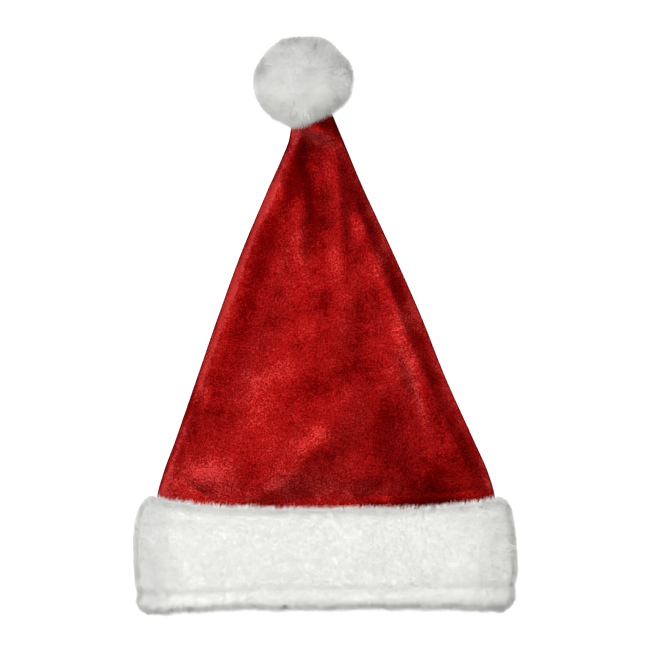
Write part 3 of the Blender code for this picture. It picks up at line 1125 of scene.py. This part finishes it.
Bulge = namedtuple("Bulge", "heading reach")
BALL_OUTLINE = (
    Bulge(-42, 0.850),
    Bulge(-32, 0.900),
    Bulge(-20, 0.980),
    Bulge(0, 1.010),
    Bulge(20, 1.035),
    Bulge(40, 1.000),
    Bulge(62, 1.020),
    Bulge(90, 0.950),
    Bulge(115, 0.995),
    Bulge(145, 0.985),
    Bulge(180, 1.015),
    Bulge(200, 0.995),
    Bulge(217, 0.970),
    Bulge(235, 0.925),
    Bulge(255, 0.905),
    Bulge(270, 0.875),
    Bulge(286, 0.810),
    Bulge(302, 0.810),
    Bulge(318, 0.850),
)


def ball_rings(sunk):
    """Rings from the ball's far pole to the one at the crown, sunk below the tips of the pile."""
    turn = np.arange(BALL_AROUND) * 2 * math.pi / BALL_AROUND
    rings = []
    for polar in np.linspace(BY_THE_POLE, math.pi - BY_THE_POLE, BALL_RINGS):
        x = np.sin(polar) * np.cos(turn)
        y = np.cos(polar) + 0 * turn
        z = np.sin(polar) * np.sin(turn)
        direction = np.stack((x, y, z), axis=1)
        lump = unevenness(x * 0.3 + z * 0.11, y * 0.3 + z * 0.2, 0.12, 5)
        heading = np.degrees(np.arctan2(y, x)) % 360
        heading = np.where(heading > BALL_OUTLINE[-1].heading, heading - 360, heading)
        (bulge,) = along_table(BALL_OUTLINE, heading)
        seen = np.hypot(x, y) ** 2
        radius = POMPOM_SIZE / 2 * (1 + (bulge - 1) * seen)[:, None]
        radius = radius - sunk + BALL_LUMPS * lump[:, None]
        rings.append(POMPOM_CENTRE + direction * radius)
    return np.array(rings)


ball = ball_rings(BALL_RISE)
from_joint = np.linalg.norm(ball - crown_tip, axis=2)
at_joint = np.exp(-((from_joint - JOINT_RADIUS) / JOINT_WIDTH) ** 2)
ball += (ball - POMPOM_CENTRE) * (JOINT_PUFF * at_joint)[:, :, None]
ball[:, :, 2] = np.maximum(ball[:, :, 2], PILE_FLOOR)
print("ball", ball.shape[:2])

# %% The pompom's ground as a piece, and its pile
COMBED_OVER_VELVET = np.array((0.0, -0.8, 0.3))


def ball_painted_shade(points):
    """Painted shade over the clipped ball, fading out towards its side by the velvet."""
    return 0.62 - 0.70 * np.clip((0.190 - points[..., 1]) / 0.030, 0, 1)


pompom = new_piece("pompom_ground", tube_mesh("pompom_ground", ball), ground)
mark_painted_shade(pompom.data, ball_painted_shade)
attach(pompom, "root")
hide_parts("pompom")
grow_pile(
    "pompom_pile",
    ball,
    at_joint[:, :, None] * COMBED_OVER_VELVET,
    np.ones(ball.shape[:2]),
    ball_painted_shade(ball),
    Density=3.8e6,
    Length=0.0070,
    Width=0.00018,
    Rise=0.55,
    Lift=1.1,
    Lean=0.45,
    Tufting=1.3,
    Tuft_size=0.014,
    Seed=5,
)

# %% [markdown]
# ## Table and light
# A white table and large soft lights, as in a shop's photograph: the ground goes to white
# and the shadows almost vanish. The main light hangs almost straight above the hat, a little
# to the upper left, and two weaker ones stand low at its sides. The table glows a little, to
# stay white under the hat's edge.

# %% The table
TABLE = 3.0
table_material, _, table_shader = new_material("table_white", 0.9, Specular_IOR_Level=0.1)
table_shader.inputs["Base Color"].default_value = (0.93, 0.93, 0.93, 1)
table_shader.inputs["Emission Color"].default_value = (1, 1, 1, 1)
table_shader.inputs["Emission Strength"].default_value = 0.55
table_mesh = bpy.data.meshes.new("table")
corners = [(-TABLE, -TABLE, 0), (TABLE, -TABLE, 0), (TABLE, TABLE, 0), (-TABLE, TABLE, 0)]
table_mesh.from_pydata(corners, [], [(0, 1, 2, 3)])
table = new_piece("table", table_mesh, table_material)
print("table", TABLE * 2, "m")

# %% The lights
Light = namedtuple("Light", "name place size watts")
LIGHTS = (
    Light("key", (-0.12, 0.16, 1.45), 0.7, 18.5),
    Light("left", (-1.25, 0.35, 0.70), 0.9, 8.0),
    Light("right", (1.35, 0.05, 0.60), 0.6, 5.0),
)
SKY = 0.41


def aimed_light(light):
    """A square area light that points at the hat."""
    data = bpy.data.lights.new(light.name, "AREA")
    data.size = light.size
    data.energy = light.watts
    lamp = bpy.data.objects.new(light.name, data)
    lamp.location = light.place
    lamp.rotation_euler = (-lamp.location).to_track_quat("-Z", "Y").to_euler()
    bpy.context.scene.collection.objects.link(lamp)
    return lamp


lamps = [aimed_light(light) for light in LIGHTS]
world = bpy.data.worlds.new("studio")
world.use_nodes = True
world.node_tree.nodes["Background"].inputs["Color"].default_value = (1, 1, 1, 1)
world.node_tree.nodes["Background"].inputs["Strength"].default_value = SKY
bpy.context.scene.world = world
bpy.context.scene.view_settings.view_transform = "Standard"
print(len(lamps), "lights")
